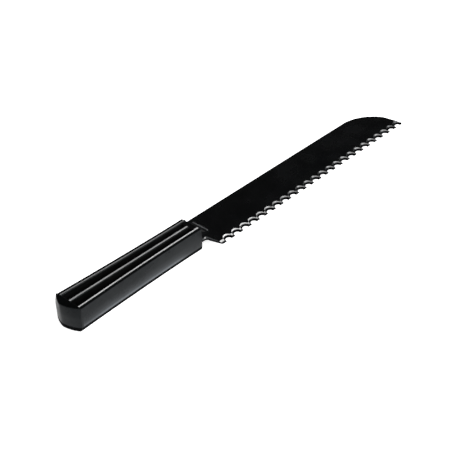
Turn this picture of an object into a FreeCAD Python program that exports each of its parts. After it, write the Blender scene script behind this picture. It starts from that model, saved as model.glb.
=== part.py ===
import FreeCAD, Part

import math
import os

import Sketcher

# Bread knife, millimetres.  +X runs from the handle to the point of the blade, +Y to the
# spine, +Z up out of the blade's bevelled face.  The origin is on the handle's flat
# underside, on the handle's centre line, half way along the handle.

DIMENSIONS = {
    # handle, outside
    "front_x": 50.0,
    "rear_x": -51.5,
    "apex_x": -57.4,
    "apex_y": 1.8,
    "apex_radius": 2.0,
    "facet_radius": 26.0,
    "height": 17.3,
    "half_front": 9.0,
    "half_fore": 9.2,
    "half_aft": 10.05,
    "half_rear": 11.2,
    "fuller": 1.0,
    "fore_x": 15.0,
    "aft_x": -20.0,
    "bottom_inset": 2.7,
    "bottom_rise": 3.4,
    "bottom_radius": 3.6,
    "side_inset": 0.35,
    "side_radius": 46.0,
    "top_inset": 0.75,
    "shoulder_z": 16.4,
    "shoulder": 0.4,
    "ledge_z": 16.8,
    "rim_outset": 1.95,
    "rim_width": 1.8,
    "spare": 0.5,
    # channels between the rails, and the liners in them
    "rail_half": 1.1,
    "rail_round": 0.8,
    "rim_round": 0.45,
    "floor_z": 12.0,
    "channel_front": 46.5,
    "liner_wall": 0.7,
    "liner_top": 16.8,
    # blade
    "blade_z": 7.0,
    "blade_thick": 3.4,
    "edge_thick": 1.25,
    "taper_y": 6.0,
    "spine_y": 10.9,
    "spine_start": 4.0,
    "spine_neck": 8.6,
    "nose_start": 171.0,
    "nose_radius": 29.7,
    "nose_turn": 70.0,
    "heel_neck": 9.3,
    "heel_step": 3.9,
    "heel_slope": 2.4,
    "heel_radius": 2.2,
    "edge_heel": 20.7,
    "edge_tip": 19.4,
    # serration
    "first_tip": 8.9,
    "pitch": 8.08,
    "gullets": 24.0,
    "gullet_radius": 2.25,
    "gullet_depth": 2.8,
    "foot_rise": 0.8,
    "foot_flare": 1.03,
    "flare": 0.62,
    "bevel_y": 18.3,
    # tang and pins
    "tang_half": 4.8,
    "tang_length": 78.0,
    "pin_radius": 1.6,
    "pin_foot": 0.4,
    "pin_top": 11.0,
    "pin_front_x": 40.0,
    "pin_mid_x": 10.0,
    "pin_back_x": -20.0,
    # bolster
    "plug_bottom": 4.4,
    "cheek_left": 7.2,
    "cheek_right": 6.8,
    "cheek_length": 7.8,
    "ramp_top": 15.8,
    "toe": 0.4,
    "ramp_radius": 9.0,
    "under_half": 4.4,
    "under_length": 4.5,
    "under_z": 4.4,
    "under_radius": 5.0,
    "bead_radius": 0.55,
    # end cap
    "cap_corner_x": -52.6,
    "spigot_half": 4.6,
    "spigot_length": 14.0,
    "spigot_bottom": 4.2,
    "spigot_top": 10.2,
    "cap_pin_x": -44.0,
    "cap_pin_top": 9.4,
}


def make_sheet(doc):
    """Driving dimensions, one alias per row."""
    sheet = doc.addObject("Spreadsheet::Sheet", "Dims")
    for row, (alias, value) in enumerate(DIMENSIONS.items(), start=1):
        sheet.set("A%d" % row, alias)
        sheet.set("B%d" % row, "%g" % value)
        sheet.setAlias("B%d" % row, alias)
    doc.recompute()
    return sheet


def value_of(doc, expression):
    """Number that an expression on the sheet gives now."""
    result = doc.Dims.evalExpression(expression)
    return float(getattr(result, "Value", result))


def origin_plane(body, role):
    return [f for f in body.Origin.OriginFeatures if f.Role == role][0]


def new_sketch(body, name, role, offset="0", along="0", across="0"):
    """Sketch on one of the body's origin planes, moved by sheet expressions."""
    sketch = body.newObject("Sketcher::SketchObject", name)
    sketch.AttachmentSupport = [(origin_plane(body, role), "")]
    sketch.MapMode = "FlatFace"
    for axis, shift in (("x", along), ("y", across), ("z", offset)):
        sketch.setExpression("AttachmentOffset.Base." + axis, shift)
    return sketch


def arc_between(first, last, radius):
    """Arc from first to last.  A positive radius bulges to the right of the way there."""
    start = FreeCAD.Vector(first[0], first[1], 0)
    end = FreeCAD.Vector(last[0], last[1], 0)
    chord = end - start
    middle = (start + end) * 0.5
    side = FreeCAD.Vector(chord.y, -chord.x, 0)
    side.normalize()
    size = abs(radius)
    rise = size - math.sqrt(size ** 2 - (chord.Length / 2) ** 2)
    top = middle + side * (rise if radius > 0 else -rise)
    return Part.Arc(start, top, end)


def draw_outline(doc, sketch, corners, arcs=None):
    """Closed outline.  corners are pairs of expressions; arcs gives the radius expression
    of the side that starts at that corner, with a leading minus to bulge left."""
    arcs = arcs or {}
    spots = [(value_of(doc, x), value_of(doc, y)) for x, y in corners]
    count = len(spots)
    starts = []
    for index, first in enumerate(spots):
        last = spots[(index + 1) % count]
        if index in arcs:
            arc = arc_between(first, last, value_of(doc, arcs[index]))
            geometry = sketch.addGeometry(arc, False)
            begin = sketch.getPoint(geometry, 1)
            near = abs(begin.x - first[0]) + abs(begin.y - first[1]) < 1e-6
            starts.append((geometry, 1 if near else 2))
        else:
            line = Part.LineSegment(FreeCAD.Vector(first[0], first[1], 0),
                                    FreeCAD.Vector(last[0], last[1], 0))
            starts.append((sketch.addGeometry(line, False), 1))
    for index in range(count):
        geometry, point = starts[index]
        before, before_point = starts[index - 1]
        sketch.addConstraint(Sketcher.Constraint(
            "Coincident", before, 3 - before_point, geometry, point))
        pin_corner(sketch, geometry, point, spots[index], corners[index])
    for index, expression in arcs.items():
        radius = abs(value_of(doc, expression))
        number = sketch.addConstraint(Sketcher.Constraint("Radius", starts[index][0], radius))
        sketch.setExpression("Constraints[%d]" % number, expression.lstrip("-"))


def pin_corner(sketch, geometry, point, spot, expressions):
    """Hold one corner at its two expressions, or on an axis where one is zero."""
    kinds = (("DistanceX", -2), ("DistanceY", -1))
    for (kind, axis), size, expression in zip(kinds, spot, expressions):
        if expression == "0":
            sketch.addConstraint(Sketcher.Constraint("PointOnObject", geometry, point, axis))
            continue
        number = sketch.addConstraint(
            Sketcher.Constraint(kind, -1, 1, geometry, point, size))
        sketch.setExpression("Constraints[%d]" % number, expression)


def draw_circle(doc, sketch, radius):
    circle = Part.Circle(FreeCAD.Vector(0, 0, 0), FreeCAD.Vector(0, 0, 1),
                         value_of(doc, radius))
    geometry = sketch.addGeometry(circle, False)
    sketch.addConstraint(Sketcher.Constraint("Coincident", geometry, 3, -1, 1))
    number = sketch.addConstraint(
        Sketcher.Constraint("Radius", geometry, value_of(doc, radius)))
    sketch.setExpression("Constraints[%d]" % number, radius)


def new_body(doc, name):
    body = doc.addObject("PartDesign::Body", name)
    body.Label = name
    return body


def pad(body, sketch, length, reverse=False):
    feature = body.newObject("PartDesign::Pad", sketch.Name + "Pad")
    feature.Profile = sketch
    feature.Reversed = reverse
    feature.setExpression("Length", length)
    body.Document.recompute()
    return feature


def pocket(body, sketch, length, reverse=False):
    """Cut against the sketch's normal, or along it when reversed."""
    before = body.Shape.Volume
    feature = body.newObject("PartDesign::Pocket", sketch.Name + "Pocket")
    feature.Profile = sketch
    feature.Reversed = reverse
    feature.setExpression("Length", length)
    body.Document.recompute()
    if not body.Shape.Volume < before - 1e-3:
        raise RuntimeError("%s removed nothing" % feature.Name)
    return feature


def at_height(edge, height):
    return all(abs(vertex.Z - height) < 1e-3 for vertex in edge.Vertexes)


def round_edges(doc, body, name, radius, wanted):
    """Round every edge of the body so far that is wanted."""
    names = ["Edge%d" % number for number, edge in enumerate(body.Shape.Edges, start=1)
             if wanted(edge)]
    sharp = body.Tip
    before = sharp.Shape.Volume
    fillet = body.newObject("PartDesign::Fillet", name)
    fillet.Base = (sharp, names)
    fillet.setExpression("Radius", radius)
    doc.recompute()
    if not abs(body.Shape.Volume - before) > 1e-3:
        raise RuntimeError("%s rounded nothing" % name)


def loft(body, kind, sketches):
    feature = body.newObject("PartDesign::" + kind, sketches[0].Name + "Loft")
    feature.Profile = sketches[0]
    feature.Sections = sketches[1:]
    feature.Ruled = False
    body.Document.recompute()
    return feature


# ---------------------------------------------------------------------------- handle

def stations():
    """Where the handle's cross sections stand, and its half width at each."""
    return [("Dims.front_x", "Dims.half_front"), ("Dims.fore_x", "Dims.half_fore"),
            ("Dims.aft_x", "Dims.half_aft"), ("Dims.rear_x", "Dims.half_rear")]


def handle_section(doc, sketch, half, rails=True):
    """Flat bottom, rounded lower corners, barrel sides, and a flat top with a raised rail
    near each side.  The side towards the spine is a little fuller than the other.
    Bottom and rails run past their final height, to be cut flat."""
    def corner(inset, height):
        return "-(%s - %s)" % (half, inset), height
    right = [corner("Dims.bottom_inset", "-Dims.spare"),
             corner("Dims.side_inset", "Dims.bottom_rise"),
             corner("Dims.top_inset", "Dims.shoulder_z"),
             corner("Dims.top_inset - Dims.shoulder", "Dims.ledge_z")]
    if rails:
        right += [corner("Dims.rim_outset", "Dims.ledge_z"),
                  corner("Dims.rim_outset", "Dims.height + Dims.spare")]
    left = [(x[1:], z) for x, z in reversed(right)]
    outer = left[2:] if rails else left
    left = left[:len(left) - len(outer)] + [(x + " + Dims.fuller", z) for x, z in outer]
    last = len(right) + len(left) - 2
    arcs = {0: "-Dims.bottom_radius", 1: "-Dims.side_radius",
            last: "-Dims.bottom_radius", last - 1: "-Dims.side_radius"}
    draw_outline(doc, sketch, right + left, arcs)


def cut_flat(doc, body, name, height, upward):
    """Cut the whole handle flat at one height, above it or below it."""
    sketch = new_sketch(body, name, "XY_Plane", offset=height)
    far = "(Dims.half_rear + 2)"
    draw_outline(doc, sketch, [("Dims.apex_x - 2", "-" + far), ("Dims.front_x + 2", "-" + far),
                               ("Dims.front_x + 2", far), ("Dims.apex_x - 2", far)])
    pocket(body, sketch, "Dims.spare + 1", reverse=upward)


def channel_sections(doc, body, name, sign, wall="0", low="Dims.floor_z",
                     high="Dims.height + 1", front="Dims.channel_front", rear="Dims.rear_x"):
    """Rectangles across one channel at each station; wall shrinks them on all sides."""
    sketches = []
    places = [front, "Dims.fore_x", "Dims.aft_x", rear]
    for number, (place, (_, half)) in enumerate(zip(places, stations())):
        near = "%s(Dims.rail_half + %s)" % (sign, wall)
        far = "%s(%s - Dims.rim_outset - Dims.rim_width - %s)" % (sign, half, wall)
        sketch = new_sketch(body, "%s%d" % (name, number), "YZ_Plane", offset=place)
        draw_outline(doc, sketch, [(near, low), (far, low), (far, high), (near, high)])
        sketches.append(sketch)
    return sketches


def make_shell(doc):
    """Handle moulding: underside, both sides, three rails and the slot for the tang."""
    body = new_body(doc, "handle_shell")
    sections = []
    for number, (place, half) in enumerate(stations()):
        sketch = new_sketch(body, "ShellSection%d" % number, "YZ_Plane", offset=place)
        handle_section(doc, sketch, half)
        sections.append(sketch)
    loft(body, "AdditiveLoft", sections)
    cut_flat(doc, body, "Underside", "0", False)
    cut_flat(doc, body, "RailTops", "Dims.height", True)
    for side, sign in (("Left", ""), ("Right", "-")):
        before = body.Shape.Volume
        loft(body, "SubtractiveLoft", channel_sections(doc, body, "Channel" + side, sign))
        if not body.Shape.Volume < before - 1.0:
            raise RuntimeError("channel removed nothing")
    round_rails(doc, body)
    seat = new_sketch(body, "PlugSeat", "YZ_Plane", offset="Dims.front_x")
    half = "(Dims.half_front - Dims.rim_outset - Dims.rim_width)"
    draw_outline(doc, seat, [("-" + half, "Dims.plug_bottom"), (half, "Dims.plug_bottom"),
                             (half, "Dims.height + 1"), ("-" + half, "Dims.height + 1")])
    pocket(body, seat, "Dims.front_x - Dims.channel_front")
    slot = new_sketch(body, "TangSlot", "YZ_Plane", offset="Dims.channel_front")
    low, high = "Dims.blade_z", "Dims.blade_z + Dims.blade_thick"
    draw_outline(doc, slot, [("-Dims.tang_half", low), ("Dims.tang_half", low),
                             ("Dims.tang_half", high), ("-Dims.tang_half", high)])
    pocket(body, slot, "Dims.tang_length - (Dims.front_x - Dims.channel_front)")
    socket = new_sketch(body, "SpigotSocket", "YZ_Plane", offset="Dims.rear_x")
    low, high = "Dims.spigot_bottom", "Dims.spigot_top"
    draw_outline(doc, socket, [("-Dims.spigot_half", low), ("Dims.spigot_half", low),
                               ("Dims.spigot_half", high), ("-Dims.spigot_half", high)])
    pocket(body, socket, "Dims.spigot_length", reverse=True)
    for name, place, top in pin_places():
        hole = new_sketch(body, "Hole" + name, "XY_Plane", along=place)
        draw_circle(doc, hole, "Dims.pin_radius")
        pocket(body, hole, top, reverse=True)
    return body


def round_rails(doc, body):
    """Round the long edges on top of the rails.  The outer edge of each side rail runs on to
    the handle's front end and is only a little higher than the ledge, so its round is small."""
    top = value_of(doc, "Dims.height")
    front = value_of(doc, "Dims.front_x")

    def on_rail(edge):
        return edge.Length > front and at_height(edge, top)

    def reaches_front(edge):
        return any(vertex.X > front - 0.01 for vertex in edge.Vertexes)

    def inner(edge):
        return on_rail(edge) and not reaches_front(edge)

    def outer(edge):
        return on_rail(edge) and reaches_front(edge)

    round_edges(doc, body, "RailRounds", "Dims.rail_round", inner)
    round_edges(doc, body, "RimRounds", "Dims.rim_round", outer)


def pin_places():
    return [("tang_pin_front", "Dims.pin_front_x", "Dims.pin_top"),
            ("tang_pin_middle", "Dims.pin_mid_x", "Dims.pin_top"),
            ("tang_pin_back", "Dims.pin_back_x", "Dims.pin_top"),
            ("cap_pin", "Dims.cap_pin_x", "Dims.cap_pin_top")]


def make_liner(doc, name, sign):
    """U-shaped dark liner that covers the floor and walls of one channel."""
    body = new_body(doc, name)
    loft(body, "AdditiveLoft",
         channel_sections(doc, body, name + "Out", sign, high="Dims.liner_top"))
    before = body.Shape.Volume
    loft(body, "SubtractiveLoft",
         channel_sections(doc, body, name + "In", sign, wall="Dims.liner_wall",
                          low="Dims.floor_z + Dims.liner_wall",
                          front="Dims.channel_front - Dims.liner_wall",
                          rear="Dims.rear_x + Dims.liner_wall"))
    if not body.Shape.Volume < before - 1.0:
        raise RuntimeError("liner is not hollow")
    return body


def make_pin(doc, name, place, top):
    body = new_body(doc, name)
    sketch = new_sketch(body, name + "Round", "XY_Plane", offset="Dims.pin_foot", along=place)
    draw_circle(doc, sketch, "Dims.pin_radius")
    pad(body, sketch, top + " - Dims.pin_foot")
    return body


# ----------------------------------------------------------------------------- blade

def blade_top(distance):
    """Height of the blade's upper face at a distance on the edge side of the handle's
    centre line, where the face falls evenly towards the edge."""
    fall = "(Dims.blade_thick - Dims.edge_thick) / (Dims.edge_heel - Dims.taper_y)"
    return "Dims.blade_z + Dims.blade_thick - %s * (%s - Dims.taper_y)" % (fall, distance)


def make_blade(doc):
    """Serrated blade with its flat tang in one piece."""
    body = new_body(doc, "blade")
    outline = new_sketch(body, "BladeOutline", "XY_Plane", offset="Dims.blade_z")
    f = "Dims.front_x + "
    turn = "(90 - Dims.nose_turn)"
    nose_x = f + "Dims.nose_start + Dims.nose_radius * cos(%s * 1deg)" % turn
    nose_y = "Dims.spine_y - Dims.nose_radius * (1 - sin(%s * 1deg))" % turn
    tip_x = f + "Dims.first_tip + Dims.gullets * Dims.pitch"
    tang_end = "Dims.front_x - Dims.tang_length"
    corners = [
        ("Dims.front_x", "Dims.tang_half"),
        (tang_end, "Dims.tang_half"),
        (tang_end, "-Dims.tang_half"),
        ("Dims.front_x", "-Dims.tang_half"),
        ("Dims.front_x", "-Dims.heel_neck"),
        (f + "Dims.heel_step - Dims.heel_radius", "-Dims.heel_neck"),
        (f + "Dims.heel_step", "-Dims.heel_neck - Dims.heel_radius"),
        (f + "Dims.heel_step + Dims.heel_slope", "-Dims.edge_heel + 1.2"),
        (f + "Dims.heel_step + Dims.heel_slope + 1.3", "-Dims.edge_heel"),
        (tip_x, "-Dims.edge_tip"),
        (nose_x, nose_y),
        (f + "Dims.nose_start", "Dims.spine_y"),
        (f + "Dims.spine_start", "Dims.spine_y"),
        ("Dims.front_x", "Dims.spine_neck"),
    ]
    arcs = {5: "-Dims.heel_radius", 7: "1.5", 10: "Dims.nose_radius"}
    draw_outline(doc, outline, corners, arcs)
    pad(body, outline, "Dims.blade_thick")
    taper = new_sketch(body, "Taper", "YZ_Plane", offset="Dims.front_x")
    above = "Dims.blade_z + Dims.blade_thick + 1"
    draw_outline(doc, taper, [("-Dims.edge_heel - 1", blade_top("(Dims.edge_heel + 1)")),
                              ("-Dims.taper_y", "Dims.blade_z + Dims.blade_thick"),
                              ("-Dims.taper_y", above), ("-Dims.edge_heel - 1", above)])
    pocket(body, taper, "Dims.first_tip + (Dims.gullets + 1) * Dims.pitch", reverse=True)
    bevel_edge(doc, body)
    cut_gullets(doc, body)
    for name, place, top in pin_places()[:3]:
        hole = new_sketch(body, "Tang" + name, "XY_Plane", along=place)
        draw_circle(doc, hole, "Dims.pin_radius")
        pocket(body, hole, "Dims.height", reverse=True)
    return body


def bevel_edge(doc, body):
    """Straight bevel that thins the whole cutting edge, widest at the heel."""
    bevel = new_sketch(body, "EdgeBevel", "YZ_Plane", offset="Dims.front_x")
    above = "Dims.blade_z + Dims.blade_thick"
    out = "-(Dims.edge_heel + 1)"
    foot = "Dims.blade_z + Dims.foot_rise"
    fall = "(%s - (%s)) / (Dims.edge_heel - Dims.bevel_y)" % (blade_top("Dims.bevel_y"), foot)
    draw_outline(doc, bevel, [(out, "%s - %s" % (foot, fall)),
                              ("-Dims.bevel_y", blade_top("Dims.bevel_y")),
                              ("-Dims.bevel_y", above), (out, above)])
    pocket(body, bevel, "Dims.first_tip + (Dims.gullets + 1) * Dims.pitch", reverse=True)


def cut_gullets(doc, body):
    """Row of round gullets between the teeth, each flared upwards in two steps."""
    slope = "atan((Dims.edge_heel - Dims.edge_tip) / (Dims.gullets * Dims.pitch))"
    centre_x = "Dims.front_x + Dims.first_tip + Dims.pitch / 2"
    centre_y = "(Dims.edge_heel + Dims.gullet_radius - Dims.gullet_depth)"
    profile = new_sketch(body, "Gullet", "XZ_Plane", offset=centre_y, along=centre_x)
    low = "Dims.blade_z"
    foot = "(Dims.blade_z + Dims.foot_rise)"
    high = "(Dims.blade_z + Dims.blade_thick)"
    foot_radius = "Dims.gullet_radius + Dims.foot_flare"
    wide = "%s + (%s - %s) * Dims.flare" % (foot_radius, high, foot)
    draw_outline(doc, profile, [
        ("0", low + " - 1"), ("Dims.gullet_radius", low + " - 1"), ("Dims.gullet_radius", low),
        (foot_radius, foot), (wide, high), ("0", high)])
    way = new_sketch(body, "EdgeWay", "XY_Plane")
    way.setExpression("AttachmentOffset.Rotation.Angle", slope)
    before = body.Shape.Volume
    groove = body.newObject("PartDesign::Groove", "GulletGroove")
    groove.Profile = profile
    groove.ReferenceAxis = (profile, ["V_Axis"])
    groove.Angle = 360
    doc.recompute()
    if not body.Shape.Volume < before - 1.0:
        raise RuntimeError("gullet removed nothing")
    row = body.newObject("PartDesign::LinearPattern", "GulletRow")
    row.Originals = [groove]
    row.Direction = (way, ["H_Axis"])
    row.setExpression("Length", "(Dims.gullets - 1) * Dims.pitch")
    row.setExpression("Occurrences", "Dims.gullets")
    body.Tip = row
    doc.recompute()


# ------------------------------------------------------------------- bolster, end cap

def make_bolster(doc):
    """Collar that slides on over the tang: a plug between the side walls that closes the
    channels, with a ramped cheek above the root of the blade and a small one below."""
    body = new_body(doc, "bolster")
    half = "(Dims.half_front - Dims.rim_outset - Dims.rim_width)"
    plug = new_sketch(body, "Plug", "YZ_Plane", offset="Dims.front_x")
    draw_outline(doc, plug, [("-" + half, "Dims.plug_bottom"), (half, "Dims.plug_bottom"),
                             (half, "Dims.ledge_z"), ("-" + half, "Dims.ledge_z")])
    pad(body, plug, "Dims.front_x - Dims.channel_front", reverse=True)
    middle = "Dims.blade_z + Dims.blade_thick / 2"
    reach = "Dims.front_x + Dims.cheek_length"
    face = "Dims.blade_z + Dims.blade_thick"
    upper = new_sketch(body, "CheekTop", "XZ_Plane", offset="Dims.cheek_right")
    draw_outline(doc, upper, [("Dims.front_x", middle), (reach, middle),
                              (reach, face + " + Dims.toe"),
                              ("Dims.front_x", "Dims.ramp_top")], {2: "-Dims.ramp_radius"})
    pad(body, upper, "Dims.cheek_left + Dims.cheek_right", reverse=True)
    under_reach = "Dims.front_x + Dims.under_length"
    lower = new_sketch(body, "CheekBottom", "XZ_Plane", offset="Dims.under_half")
    draw_outline(doc, lower, [("Dims.front_x", "Dims.under_z"),
                              (under_reach, "Dims.blade_z - Dims.toe"),
                              (under_reach, middle), ("Dims.front_x", middle)],
                 {0: "-Dims.under_radius"})
    pad(body, lower, "2 * Dims.under_half", reverse=True)
    bead = new_sketch(body, "Bead", "XZ_Plane", offset="Dims.cheek_right - 0.6")
    radius = "Dims.bead_radius"
    draw_outline(doc, bead, [
        (reach + " - " + radius, middle), (reach + " + " + radius, middle),
        (reach + " + " + radius, face + " + 0.3"),
        (reach + " - " + radius, face + " + 0.3")], {2: radius + " * 1.05"})
    pad(body, bead, "Dims.cheek_left + Dims.cheek_right - 1.2", reverse=True)
    low, high = "Dims.blade_z", "Dims.blade_z + Dims.blade_thick"
    hole = new_sketch(body, "TangHole", "YZ_Plane", offset="Dims.front_x")
    draw_outline(doc, hole, [("-Dims.tang_half", low), ("Dims.tang_half", low),
                             ("Dims.tang_half", high), ("-Dims.tang_half", high)])
    pocket(body, hole, "Dims.front_x - Dims.channel_front")
    root = new_sketch(body, "BladeRoot", "YZ_Plane", offset="Dims.front_x")
    right, left = "(Dims.cheek_right + 1)", "Dims.cheek_left + 1"
    draw_outline(doc, root, [("-" + right, low), (left, low), (left, high),
                             ("-Dims.taper_y", high), ("-" + right, blade_top(right))])
    pocket(body, root, "Dims.cheek_length + 1", reverse=True)
    return body


def make_end_cap(doc):
    """Cap with two bowed facets that meet in a rounded upright edge, and a spigot into
    the shell.  The edge stands a little towards the spine side."""
    body = new_body(doc, "end_cap")
    block = new_sketch(body, "CapSection", "YZ_Plane", offset="Dims.rear_x")
    handle_section(doc, block, "Dims.half_rear", rails=False)
    pad(body, block, "Dims.rear_x - Dims.apex_x", reverse=True)
    cut_flat(doc, body, "CapUnderside", "0", False)
    outer = "(Dims.half_rear + Dims.fuller + 1)"
    for side, sign, bow in (("Left", "", "-Dims.facet_radius"),
                            ("Right", "-", "Dims.facet_radius")):
        wedge = new_sketch(body, "Facet" + side, "XY_Plane", offset="Dims.height")
        draw_outline(doc, wedge, [("Dims.apex_x", "Dims.apex_y"),
                                  ("Dims.cap_corner_x", sign + "Dims.half_rear"),
                                  ("Dims.cap_corner_x", sign + outer),
                                  ("Dims.apex_x - 1", sign + outer),
                                  ("Dims.apex_x - 1", "Dims.apex_y")], {0: bow})
        pocket(body, wedge, "Dims.height")
    rearmost = value_of(doc, "Dims.apex_x") + 0.01

    def at_apex(edge):
        return all(vertex.X < rearmost for vertex in edge.Vertexes)

    round_edges(doc, body, "ApexRound", "Dims.apex_radius", at_apex)
    spigot = new_sketch(body, "Spigot", "YZ_Plane", offset="Dims.rear_x")
    low, high = "Dims.spigot_bottom", "Dims.spigot_top"
    draw_outline(doc, spigot, [("-Dims.spigot_half", low), ("Dims.spigot_half", low),
                               ("Dims.spigot_half", high), ("-Dims.spigot_half", high)])
    pad(body, spigot, "Dims.spigot_length")
    hole = new_sketch(body, "SpigotHole", "XY_Plane", along="Dims.cap_pin_x")
    draw_circle(doc, hole, "Dims.pin_radius")
    pocket(body, hole, "Dims.cap_pin_top", reverse=True)
    return body


# ---------------------------------------------------------------------------- output

def check(doc, bodies):
    """Stop on any broken feature, and on any null, invalid or split solid."""
    for item in doc.Objects:
        if "Invalid" in item.State or "Error" in item.State:
            raise RuntimeError("%s is %s" % (item.Name, item.State))
    for body in bodies:
        shape = body.Shape
        if shape.isNull() or not shape.isValid() or len(shape.Solids) != 1:
            raise RuntimeError("%s has a bad shape" % body.Label)
        box = shape.optimalBoundingBox()
        print("%-20s volume %8.1f  X %7.2f %7.2f  Y %6.2f %6.2f  Z %5.2f %5.2f" % (
            body.Label, shape.Volume, box.XMin, box.XMax, box.YMin, box.YMax,
            box.ZMin, box.ZMax))


def main():
    doc = FreeCAD.newDocument("BreadKnife")
    make_sheet(doc)
    bodies = [make_blade(doc), make_shell(doc),
              make_liner(doc, "channel_liner_left", ""),
              make_liner(doc, "channel_liner_right", "-"),
              make_bolster(doc), make_end_cap(doc)]
    bodies += [make_pin(doc, name, place, top) for name, place, top in pin_places()]
    doc.recompute()
    check(doc, bodies)
    os.makedirs("parts", exist_ok=True)
    for body in bodies:
        body.Shape.exportStep("parts/%s.step" % body.Label)


main()
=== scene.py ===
"""Bread knife in black moulded plastic: looks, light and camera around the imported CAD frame.

Row frame, in metres: +X from the handle to the point, +Y towards the spine, +Z up out of the
bevelled face.
"""

import math

import bmesh
import bpy
from mathutils import Matrix, Vector


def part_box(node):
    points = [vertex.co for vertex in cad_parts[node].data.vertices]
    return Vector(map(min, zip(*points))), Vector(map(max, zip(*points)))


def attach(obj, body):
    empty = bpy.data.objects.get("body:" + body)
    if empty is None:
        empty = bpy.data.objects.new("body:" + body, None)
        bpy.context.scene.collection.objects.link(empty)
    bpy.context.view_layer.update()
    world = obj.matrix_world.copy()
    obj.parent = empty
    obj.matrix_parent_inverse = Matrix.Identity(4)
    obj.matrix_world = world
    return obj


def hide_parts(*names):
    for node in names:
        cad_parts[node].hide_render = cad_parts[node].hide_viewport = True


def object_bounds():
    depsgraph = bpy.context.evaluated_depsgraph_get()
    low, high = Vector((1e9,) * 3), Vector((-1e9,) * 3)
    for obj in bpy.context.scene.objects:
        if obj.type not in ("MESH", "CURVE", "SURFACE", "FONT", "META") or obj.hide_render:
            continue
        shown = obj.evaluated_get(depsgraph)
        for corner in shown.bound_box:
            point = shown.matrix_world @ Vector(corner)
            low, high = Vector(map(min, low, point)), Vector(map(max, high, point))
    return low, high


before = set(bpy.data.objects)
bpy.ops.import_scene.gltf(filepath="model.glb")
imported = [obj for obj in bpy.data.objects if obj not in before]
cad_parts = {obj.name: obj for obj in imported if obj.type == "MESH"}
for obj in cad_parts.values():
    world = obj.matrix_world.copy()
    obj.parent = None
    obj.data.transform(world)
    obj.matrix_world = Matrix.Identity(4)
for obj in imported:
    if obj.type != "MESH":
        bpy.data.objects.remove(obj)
CAD_LOW, CAD_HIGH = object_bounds()
MM = 0.001
SHELL_LOW, SHELL_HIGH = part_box("handle_shell")
CAP_LOW, CAP_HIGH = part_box("end_cap")
NECK_LOW, NECK_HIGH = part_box("bolster")
BLADE_LOW, BLADE_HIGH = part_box("blade")

# Ends of the handle shell: the joint with the butt cap, and the front.
BUTT_JOINT = SHELL_LOW.x
FRONT = SHELL_HIGH.x

# Heights: the rounded lower corner of the handle, the edge and the flat of its top, the
# crests of the rails, and the steep foot of the teeth.
CORNER = 3.4 * MM
LEDGE = CAP_HIGH.z
SHOULDER = LEDGE - 0.4 * MM
RAIL_TOP = SHELL_HIGH.z
FOOT = BLADE_LOW.z + 0.8 * MM


# ---------------------------------------------------------------- shader nodes

def new_material(name):
    """An empty node material: returns it with its tree and its shader."""
    material = bpy.data.materials.new(name)
    material.use_nodes = True
    return material, material.node_tree, material.node_tree.nodes["Principled BSDF"]


def node(tree, kind, **values):
    """A node of that kind with its properties or input sockets set."""
    made = tree.nodes.new(kind)
    for key, value in values.items():
        if hasattr(made, key):
            setattr(made, key, value)
        else:
            made.inputs[key.replace("_", " ")].default_value = value
    return made


def axis_of(tree, vector, axis):
    """The X, Y or Z part of a vector."""
    split = node(tree, "ShaderNodeSeparateXYZ")
    tree.links.new(vector, split.inputs["Vector"])
    return split.outputs[axis]


def object_place(tree, stretch=(1, 1, 1)):
    """The object's own coordinates in metres, stretched."""
    place = node(tree, "ShaderNodeTexCoord")
    mapping = node(tree, "ShaderNodeMapping", Scale=stretch)
    tree.links.new(place.outputs["Object"], mapping.inputs["Vector"])
    return mapping.outputs["Vector"]


def facing(tree, axis):
    """How far the surface faces along an axis, from -1 to 1."""
    return axis_of(tree, node(tree, "ShaderNodeNewGeometry").outputs["Normal"], axis)


def noise(tree, scale, detail=4.0, stretch=(1, 1, 1)):
    """Cloudy noise fixed to the object, from 0 to 1."""
    made = node(tree, "ShaderNodeTexNoise", Scale=scale, Detail=detail, Roughness=0.55)
    tree.links.new(object_place(tree, stretch), made.inputs["Vector"])
    return made.outputs["Fac"]


def band(tree, value, *stops):
    """A smooth curve through (value, result) stops, as a number."""
    low, high = stops[0][0], stops[-1][0]
    spread = node(tree, "ShaderNodeMapRange", From_Min=low, From_Max=high)
    tree.links.new(value, spread.inputs["Value"])
    curve = node(tree, "ShaderNodeValToRGB")
    curve.color_ramp.interpolation = "EASE"
    elements = curve.color_ramp.elements
    while len(elements) < len(stops):
        elements.new(0.5)
    for element, (at, result) in zip(elements, stops):
        element.position = (at - low) / (high - low)
        element.color = (result, result, result, 1)
    tree.links.new(spread.outputs["Result"], curve.inputs["Fac"])
    return curve.outputs["Color"]


def fade(tree, axis, start, *stops):
    """A smooth curve along one of the object's own axes, through stops of (millimetres past
    the start, result)."""
    place = axis_of(tree, object_place(tree), axis)
    return band(tree, place, *((start + past * MM, result) for past, result in stops))


def times(tree, first, *others):
    """The product of two or more numbers."""
    product = first
    for other in others:
        made = node(tree, "ShaderNodeMath", operation="MULTIPLY")
        tree.links.new(product, made.inputs[0])
        tree.links.new(other, made.inputs[1])
        product = made.outputs["Value"]
    return product


def unless(tree, mask):
    """One where the mask is nought, nought where it is one."""
    inverse = node(tree, "ShaderNodeMath", operation="SUBTRACT")
    inverse.inputs[0].default_value = 1.0
    tree.links.new(mask, inverse.inputs[1])
    return inverse.outputs["Value"]


def blend(tree, share, first, second):
    """first where share is 0 and second where it is 1; each is a socket or a colour."""
    made = node(tree, "ShaderNodeMix", data_type="RGBA")
    tree.links.new(share, made.inputs["Factor"])
    for side, name in ((first, "A"), (second, "B")):
        socket = [s for s in made.inputs if s.name == name and s.type == "RGBA"][0]
        if isinstance(side, bpy.types.NodeSocket):
            tree.links.new(side, socket)
        else:
            socket.default_value = (*side, 1)
    return [s for s in made.outputs if s.type == "RGBA"][0]


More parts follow.
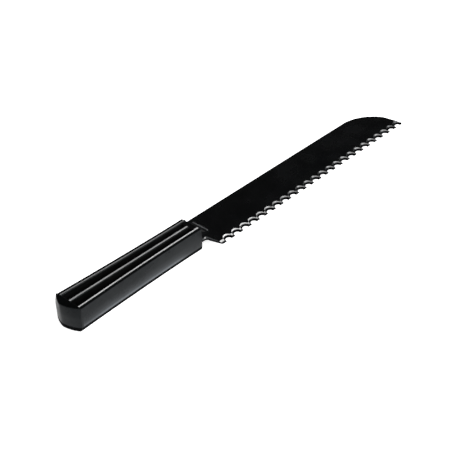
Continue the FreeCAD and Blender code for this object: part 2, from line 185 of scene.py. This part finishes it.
def grey(level, tint=0.0):
    """A grey, a little blue where tint is above 0."""
    return (level * (1 - tint), level, level * (1 + tint))


def cloudy(tree, scale, low, high):
    """A grey that drifts between two levels."""
    drift = band(tree, noise(tree, scale, 5.0), (0.3, 0.0), (0.7, 1.0))
    return blend(tree, drift, low, high)


def grain(tree, shader, scale, height, strength=0.4):
    """Fine moulded or turned texture as bump."""
    bump = node(tree, "ShaderNodeBump", Strength=strength, Distance=height)
    tree.links.new(noise(tree, scale, 3.0), bump.inputs["Height"])
    tree.links.new(bump.outputs["Normal"], shader.inputs["Normal"])


def connect(tree, shader, tone, rough):
    """Give the shader its colour and roughness."""
    tree.links.new(tone, shader.inputs["Base Color"])
    tree.links.new(rough, shader.inputs["Roughness"])


# ---------------------------------------------------------------- materials

def black_plastic(name, gloss, low=0.007, high=0.011, rough=(0.24, 0.34)):
    """Moulded black plastic that drifts a little in tone and roughness: its material, tree,
    shader, tone and roughness, for the caller to add wear to."""
    material, tree, shader = new_material(name)
    tone = cloudy(tree, 60.0, grey(low, 0.06), grey(high, 0.06))
    dull = cloudy(tree, 60.0, grey(rough[0]), grey(rough[1]))
    shader.inputs["Specular IOR Level"].default_value = gloss
    shader.inputs["Specular Tint"].default_value = (0.86, 0.96, 1.0, 1)
    grain(tree, shader, 3600.0, 0.02 * MM)
    return material, tree, shader, tone, dull


def side_plastic():
    """Glossy sides of the handle, with a painted reflection of the floor that makes them paler low down,
    less so at both ends.
    """
    material, tree, shader, tone, rough = black_plastic("side_plastic", gloss=0.068)
    reflection_low_down = fade(tree, "Z", CORNER, (0.0, 1.0), (1.0, 0.52), (2.4, 0.18), (5.0, 0.06), (8.0, 0.0))
    lengthways = fade(tree, "X", FRONT, (-100.0, 0.6), (-80.0, 1.0), (-24.0, 1.0), (-7.0, 0.12))
    mottle = band(tree, noise(tree, 140.0, 4.0, (0.35, 1, 1)), (0.25, 0.75), (0.7, 1.0))
    # Painted reflection: a paler tone towards the bottom of the sides, fading at both ends, broken up by
    # mottle.
    tone = blend(tree, times(tree, reflection_low_down, lengthways, mottle), tone, grey(0.125, 0.08))
    connect(tree, shader, tone, rough)
    return material


def rail_plastic():
    """Rails on top of the handle, with a painted highlight along their crests, brightest on the cutting
    side.
    The middle rail's painted highlight runs as far as the bolster, and the two rims' almost to the
    front."""
    material, tree, shader, tone, rough = black_plastic("rail_plastic", gloss=0.05)
    crest = fade(tree, "Z", RAIL_TOP, (-0.06, 0.0), (-0.01, 1.0))
    side = fade(tree, "Y", 0.0, (-6.5, 1.0), (-1.4, 0.60), (1.4, 0.60), (6.0, 0.32))
    middle_reach = fade(tree, "X", NECK_LOW.x, (-1.1, 1.0), (0.0, 0.0))
    rim_reach = fade(tree, "X", FRONT, (-1.0, 1.0), (-0.2, 0.0))
    on_rims = fade(tree, "Y", 0.0, (-6.5, 1.0), (-5.0, 0.0), (5.0, 0.0), (6.5, 1.0))
    reach = blend(tree, on_rims, middle_reach, rim_reach)
    streak = band(tree, noise(tree, 300.0, 3.0, (0.12, 1, 1)), (0.2, 0.6), (0.6, 1.0))
    # Painted highlight: a pale tone along the crests of the rails, strongest on the cutting side and
    # broken into streaks.
    tone = blend(tree, times(tree, crest, side, reach, streak), tone, grey(0.52))
    rough = blend(tree, crest, rough, grey(0.42))
    connect(tree, shader, tone, rough)
    return material


def matte_shade_plastic():
    """Matte black plastic painted darker as shade, on the handle's lower corner and top edge, the foot
    of the teeth and the butt cap's lower corner and flat top.
    """
    # Painted shade: a near-black tone with almost no gloss, so these faces stay black.
    material, tree, shader, tone, rough = black_plastic(
        "matte_shade_plastic", gloss=0.02, low=0.0010, high=0.0025, rough=(0.70, 0.88)
    )
    connect(tree, shader, tone, rough)
    return material


def cap_plastic():
    """The handle's plastic on the butt cap, set a little darker in tone as painted shade."""
    # Painted shade: a darker copy of the handle plastic for the cap.
    material, tree, shader, tone, rough = black_plastic(
        "cap_plastic", gloss=0.074, low=0.006, high=0.010, rough=(0.26, 0.36)
    )
    connect(tree, shader, tone, rough)
    return material


def neck_plastic():
    """Satin black plastic of the bolster, with a painted highlight along its bead."""
    material, tree, shader, tone, rough = black_plastic(
        "neck_plastic", gloss=0.06, low=0.0015, high=0.003, rough=(0.30, 0.40)
    )
    bead = fade(tree, "X", NECK_HIGH.x, (-1.15, 0.0), (-1.0, 1.0))
    crest = fade(tree, "Z", BLADE_HIGH.z, (0.15, 0.0), (0.40, 1.0))
    patchy = band(tree, noise(tree, 500.0, 3.0), (0.3, 0.5), (0.6, 1.0))
    # Painted highlight: a pale, patchy line along the crest of the bead.
    tone = blend(tree, times(tree, bead, crest, patchy), tone, grey(0.10, 0.03))
    connect(tree, shader, tone, rough)
    return material


def heel_plastic():
    """Black wall behind the heel, with a painted highlight along the middle, brightest in the inner
    corner.
    """
    material, tree, shader, tone, rough = black_plastic(
        "heel_plastic", gloss=0.05, low=0.0015, high=0.003, rough=(0.30, 0.40)
    )
    streak = fade(tree, "Z", BLADE_LOW.z, (1.2, 0.0), (1.8, 1.0), (2.4, 1.0), (3.0, 0.0))
    corner = fade(tree, "X", FRONT, (1.4, 0.0), (1.9, 1.0), (2.5, 1.0), (3.0, 0.0))
    patchy = band(tree, noise(tree, 500.0, 3.0), (0.3, 0.5), (0.6, 1.0))
    # Painted highlight: a grey band along the middle of the wall and a pale spot in the inner corner.
    tone = blend(tree, times(tree, streak, patchy), tone, grey(0.05, 0.05))
    tone = blend(tree, times(tree, streak, corner), tone, grey(0.28))
    connect(tree, shader, tone, rough)
    return material


def blade_plastic():
    """Satin black plastic of the blade."""
    material, tree, shader, tone, rough = black_plastic(
        "blade_plastic", gloss=0.22, low=0.0018, high=0.0028, rough=(0.22, 0.30)
    )
    connect(tree, shader, tone, rough)
    return material


def ground_plastic():
    """Ground bevels of the teeth: paler scratched plastic with a painted highlight, brightest near the
    heel, above a foot painted black as shade.
    The wall of a gullet that faces the point squarely is painted black as shade. Towards the point of
    the blade the gullet's brim and the rest of that wall turn black too, as painted shade."""
    material, tree, shader, tone, rough = black_plastic("ground_plastic", gloss=0.12)
    # Painted highlight: strongest near the heel, fading towards the point.
    highlight_falloff = fade(tree, "X", FRONT, (8.0, 1.0), (50.0, 0.55), (80.0, 0.40), (186.0, 0.40), (193.0, 0.14))
    shade_toward_point = fade(tree, "X", FRONT, (20.0, 0.0), (100.0, 1.0))
    # Painted shade: the foot of the teeth stays dark.
    above_foot = fade(tree, "Z", FOOT, (0.20, 0.0), (0.50, 1.0))
    brim = fade(tree, "Z", BLADE_HIGH.z, (-1.5, 0.0), (-1.1, 1.0))
    toward_point = band(tree, facing(tree, "X"), (-0.20, 0.0), (0.15, 1.0))
    square_to_point = band(tree, facing(tree, "X"), (0.42, 0.0), (0.66, 1.0))
    # Painted shade: faces that turn to the point, and the gullet's brim, go black, more so towards the
    # point.
    shade_parts = [times(tree, brim, shade_toward_point), times(tree, toward_point, shade_toward_point), square_to_point]
    left_pale = [unless(tree, black_part) for black_part in shade_parts]
    scratch = band(tree, noise(tree, 900.0, 3.0, (1, 1, 0.2)), (0.25, 0.75), (0.65, 1.0))
    pale = times(tree, highlight_falloff, *left_pale, above_foot, scratch)
    # A pale tone, partly the bevel's own scratched grinding and partly a painted highlight.
    tone = blend(tree, pale, tone, grey(0.62))
    connect(tree, shader, tone, rough)
    return material


def liner_rubber():
    """Matte black rubber with a soft grain."""
    material, tree, shader = new_material("liner_rubber")
    cloud = band(tree, noise(tree, 80.0, 4.0), (0.3, 0.0), (0.7, 1.0))
    tone = blend(tree, cloud, grey(0.0010), grey(0.0022))
    rough = blend(tree, cloud, grey(0.62), grey(0.78))
    connect(tree, shader, tone, rough)
    grain(tree, shader, 2600.0, 0.04 * MM, 0.5)
    shader.inputs["Specular IOR Level"].default_value = 0.05
    return material


def pin_steel():
    """Turned steel, with fine rings round the pin."""
    material, tree, shader = new_material("pin_steel")
    rings = band(tree, noise(tree, 4000.0, 2.0, (0.05, 0.05, 1)), (0.3, 0.0), (0.7, 1.0))
    tone = blend(tree, rings, grey(0.38, 0.02), grey(0.52, 0.02))
    rough = blend(tree, rings, grey(0.26), grey(0.42))
    connect(tree, shader, tone, rough)
    grain(tree, shader, 6000.0, 0.01 * MM)
    shader.inputs["Metallic"].default_value = 1.0
    return material


SIDE = side_plastic()
RAIL = rail_plastic()
MATTE_SHADE = matte_shade_plastic()
CAP = cap_plastic()
NECK = neck_plastic()
HEEL = heel_plastic()
BLADE = blade_plastic()
GROUND = ground_plastic()
LINER = liner_rubber()
STEEL = pin_steel()


# ---------------------------------------------------------------- finish of each face

HEEL_WALL_END = FRONT + 8.0 * MM
HEEL_WALL_INNER = -7.0 * MM
TEETH_START = FRONT + 5.0 * MM
TEETH_TOP = -14.2 * MM


def on_shell(centre, normal):
    """Handle shell: rails with a painted highlight, lower corner and top edge in matte plastic painted
    black as shade, and glossy sides.
    """
    if centre.z > LEDGE + 0.01 * MM:
        return RAIL
    # Painted shade on the lower corner and the top edge.
    if centre.z < CORNER or centre.z > SHOULDER:
        return MATTE_SHADE
    return SIDE


def on_blade(centre, normal):
    """Blade: wall behind the heel with a painted highlight, satin flats, and bevels above the foot of
    the teeth, which is painted black as shade.
    """
    upright = abs(normal.z) < 0.5
    flat = normal.z < -0.9 or normal.z > 0.97
    if upright and centre.y < HEEL_WALL_INNER and centre.x < HEEL_WALL_END:
        return HEEL
    if flat or centre.y > TEETH_TOP or centre.x < TEETH_START:
        return BLADE
    # Painted shade: the foot of the teeth is black.
    if centre.z < FOOT:
        return MATTE_SHADE
    return GROUND


def on_cap(centre, normal):
    """Butt cap: lower corner and flat top in matte plastic painted black as shade, glossy facets and
    sides.
    """
    # Painted shade on the flat top and the lower corner.
    flat_top = normal.z > 0.8 and centre.z > SHOULDER
    lower_corner = centre.z < CORNER - 0.4 * MM
    return MATTE_SHADE if flat_top or lower_corner else CAP


def all_over(material):
    """A finish that is the same material on every face."""
    def finish(centre, normal):
        return material
    return finish


def paint(mesh, finish):
    """Give each face of the mesh the finish that belongs there."""
    mesh.materials.clear()
    for face in mesh.polygons:
        material = finish(face.center, face.normal)
        if material.name not in mesh.materials:
            mesh.materials.append(material)
        face.material_index = mesh.materials.find(material.name)


FINISH = {
    "blade": on_blade,
    "handle_shell": on_shell,
    "bolster": all_over(NECK),
    "channel_liner_left": all_over(LINER),
    "channel_liner_right": all_over(LINER),
    "end_cap": on_cap,
}
for name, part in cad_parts.items():
    paint(part.data, FINISH.get(name, all_over(STEEL)))


# ---------------------------------------------------------------- butt cap, in millimetres

HALF_WIDTH = 11.2
CORNER_INSET, CORNER_RADIUS, CORNER_DROP = 2.7, 3.6, 0.5
SIDE_FOOT = HALF_WIDTH - 0.35
SIDE_TOP = HALF_WIDTH - 0.75
SIDE_RADIUS = 46.0
LIP_FLARE = 0.4
UPPER_ROUND, LOWER_ROUND = 0.5, 0.8

# Ends of the two facets, as (x past the joint, y), on the body and where it leans in at the top.
RIDGE = Vector((-5.9, 1.8)), Vector((-5.3, 3.2))
SPINE_CORNER = Vector((-2.2, 11.2)), Vector((-0.9, 11.2))
EDGE_CORNER = Vector((-1.1, -11.2)), Vector((-0.4, -9.8))
FACET_BOW = 26.0
RIDGE_BLUNT = 0.10
LEAN_HEIGHT, LEAN_POWER = 7.0, 1.5
FACET_STEPS = 40


def arc_through(first, last, radius, count):
    """Points on an arc from first to last that bulges to the right of the way there."""
    start, end = Vector(first), Vector(last)
    chord = end - start
    inward = Vector((-chord.y, chord.x)).normalized()
    centre = (start + end) / 2 + inward * math.sqrt(radius ** 2 - chord.length_squared / 4)
    begin = math.atan2(start.y - centre.y, start.x - centre.x)
    turn = 2 * math.asin(chord.length / 2 / radius)
    angles = [begin + turn * i / count for i in range(count + 1)]
    return [(centre.x + radius * math.cos(a), centre.y + radius * math.sin(a)) for a in angles]


def cap_profile():
    """(half width, height) up one side of the cap: lower corner, barrel side and lip. The
    corner's arc starts below the table and is cut off there."""
    low, shoulder, ledge = CORNER / MM, SHOULDER / MM, LEDGE / MM
    corner = arc_through((HALF_WIDTH - CORNER_INSET, -CORNER_DROP), (SIDE_FOOT, low), CORNER_RADIUS, 16)
    side = arc_through((SIDE_FOOT, low), (SIDE_TOP, shoulder), SIDE_RADIUS, 24)
    table = 0.02
    rows = [p for p in corner + side[1:] if p[1] > table]
    last_below = [p for p in corner if p[1] <= table][-1]
    share = -last_below[1] / (rows[0][1] - last_below[1])
    foot = (last_below[0] + share * (rows[0][0] - last_below[0]), 0.0)
    lip = [
        (SIDE_TOP + LIP_FLARE * t, shoulder + (ledge - shoulder) * t)
        for t in (0.25, 0.5, 0.75, 0.9, 1.0)
    ]
    return [foot] + rows + lip


def facet(y, lean):
    """How far past the joint the cap reaches at a distance off the centre line: two bowed
    facets that meet in a soft upright ridge. Lean is 0 on the body and 1 at the top edge."""
    ridge = RIDGE[0].lerp(RIDGE[1], lean)
    reach = []
    for side, (on_body, on_top) in ((1, SPINE_CORNER), (-1, EDGE_CORNER)):
        end = on_body.lerp(on_top, lean)
        chord = end - ridge
        inward = Vector((chord.y, -chord.x)) * side
        centre = (ridge + end) / 2
        centre += inward.normalized() * math.sqrt(FACET_BOW ** 2 - chord.length_squared / 4)
        reach.append(centre.x - math.sqrt(max(FACET_BOW ** 2 - (y - centre.y) ** 2, 0)))
    highest = max(reach)
    return highest + RIDGE_BLUNT * math.log(sum(math.exp((r - highest) / RIDGE_BLUNT) for r in reach))


def rounded_inset(radius, near):
    """How far an edge rounded to that radius draws in, that near to the end of the edge."""
    return radius - math.sqrt(radius ** 2 - near ** 2)


def cap_row(half, height):
    """The cap's outline at one height, from the joint round the end and back to the joint."""
    top = CAP_HIGH.z / MM
    fuller = (CAP_HIGH.y + CAP_LOW.y) / MM
    near_top = min(max(height - (top - UPPER_ROUND), 0), UPPER_ROUND)
    near_foot = max(LOWER_ROUND - height, 0)
    inset = rounded_inset(UPPER_ROUND, near_top) + rounded_inset(LOWER_ROUND, near_foot)
    lean = max(1 - (top - height) / LEAN_HEIGHT, 0) ** LEAN_POWER
    outline = [(0, -half)]
    for step in range(FACET_STEPS + 1):
        y = -half + (2 * half + fuller) * step / FACET_STEPS
        outline.append((min(facet(y, lean) + inset, -0.05), y))
    outline.append((0, half + fuller))
    return [(BUTT_JOINT + x * MM, y * MM, height * MM) for x, y in outline]


def make_cap():
    """Butt cap whose end leans in towards the top, with its edges rounded over."""
    mesh = bmesh.new()
    rows = [[mesh.verts.new(place) for place in cap_row(*level)] for level in cap_profile()]
    for lower, upper in zip(rows, rows[1:]):
        for i in range(len(lower) - 1):
            mesh.faces.new((lower[i], upper[i], upper[i + 1], lower[i + 1]))
        mesh.faces.new((lower[-1], upper[-1], upper[0], lower[0]))
    mesh.faces.new(rows[-1])
    mesh.faces.new(list(reversed(rows[0])))
    bmesh.ops.recalc_face_normals(mesh, faces=mesh.faces)
    data = bpy.data.meshes.new("butt_cap")
    mesh.to_mesh(data)
    mesh.free()
    paint(data, on_cap)
    data.shade_smooth()
    data.set_sharp_from_angle(angle=math.radians(35))
    cap = bpy.data.objects.new("butt_cap", data)
    bpy.context.scene.collection.objects.link(cap)
    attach(cap, "root")
    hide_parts("end_cap")


make_cap()


# ---------------------------------------------------------------- stage, light and camera

def make_floor():
    """A plain pale light table, far wider than the knife."""
    half = 6.0
    mesh = bpy.data.meshes.new("floor")
    mesh.from_pydata(
        [(-half, -half, 0), (half, -half, 0), (half, half, 0), (-half, half, 0)],
        [],
        [(0, 1, 2, 3)],
    )
    floor = bpy.data.objects.new("floor", mesh)
    floor.location.z = CAD_LOW.z - 0.02 * MM
    bpy.context.scene.collection.objects.link(floor)
    material, tree, shader = new_material("floor_pale")
    shader.inputs["Base Color"].default_value = (0.93, 0.93, 0.93, 1)
    shader.inputs["Roughness"].default_value = 1.0
    shader.inputs["Specular IOR Level"].default_value = 0.0
    shader.inputs["Emission Color"].default_value = (1, 1, 1, 1)
    shader.inputs["Emission Strength"].default_value = 0.85
    mesh.materials.append(material)


def make_world():
    """A pale horizon under a dark studio ceiling."""
    world = bpy.data.worlds.new("studio")
    bpy.context.scene.world = world
    world.use_nodes = True
    tree = world.node_tree
    height = axis_of(tree, node(tree, "ShaderNodeTexCoord").outputs["Generated"], "Z")
    sky = band(tree, height, (0.06, 0.8), (0.30, 0.02))
    tree.links.new(sky, tree.nodes["Background"].inputs["Color"])


def direction(azimuth, elevation):
    """Unit vector at an azimuth turned from -Y towards +X, and an elevation, in degrees."""
    a, e = math.radians(azimuth), math.radians(elevation)
    return Vector((math.sin(a) * math.cos(e), -math.cos(a) * math.cos(e), math.sin(e)))


def soft_box(name, aim, size, radiance):
    """A soft light 3 m away in that direction that faces the middle of the knife."""
    light = bpy.data.lights.new(name, "AREA")
    light.shape = "RECTANGLE"
    light.size, light.size_y = size
    light.energy = radiance * math.pi * size[0] * size[1]
    lamp = bpy.data.objects.new(name, light)
    lamp.location = (CAD_LOW + CAD_HIGH) / 2 + aim * 3.0
    lamp.rotation_mode = "QUATERNION"
    lamp.rotation_quaternion = aim.to_track_quat("Z", "Y")
    bpy.context.scene.collection.objects.link(lamp)


def make_camera():
    """The camera looks down the knife from behind the handle, on its cutting side."""
    azimuth, elevation, roll = -45.406, 35.455, math.radians(-2.521)
    distance = 676.8 * MM
    target = Vector((70.12 * MM, -10.10 * MM, 9.8 * MM))
    back = direction(azimuth, elevation)
    right = direction(azimuth + 90, 0)
    up = back.cross(right)
    tilted_right = right * math.cos(roll) + up * math.sin(roll)
    tilted_up = up * math.cos(roll) - right * math.sin(roll)
    data = bpy.data.cameras.new("camera")
    data.sensor_width = 36.0
    data.lens = 83.55
    data.clip_start, data.clip_end = 0.02, 50.0
    camera = bpy.data.objects.new("camera", data)
    turn = Matrix((tilted_right, tilted_up, back)).transposed().to_4x4()
    camera.matrix_world = Matrix.Translation(target + back * distance) @ turn
    bpy.context.scene.collection.objects.link(camera)
    bpy.context.scene.camera = camera


make_floor()
make_world()
soft_box("key", direction(22, 34), (3.2, 1.7), 8.2)
soft_box("overhead", direction(-15, 82), (2.6, 2.6), 1.9)
make_camera()
bpy.context.scene.view_settings.view_transform = "Standard"
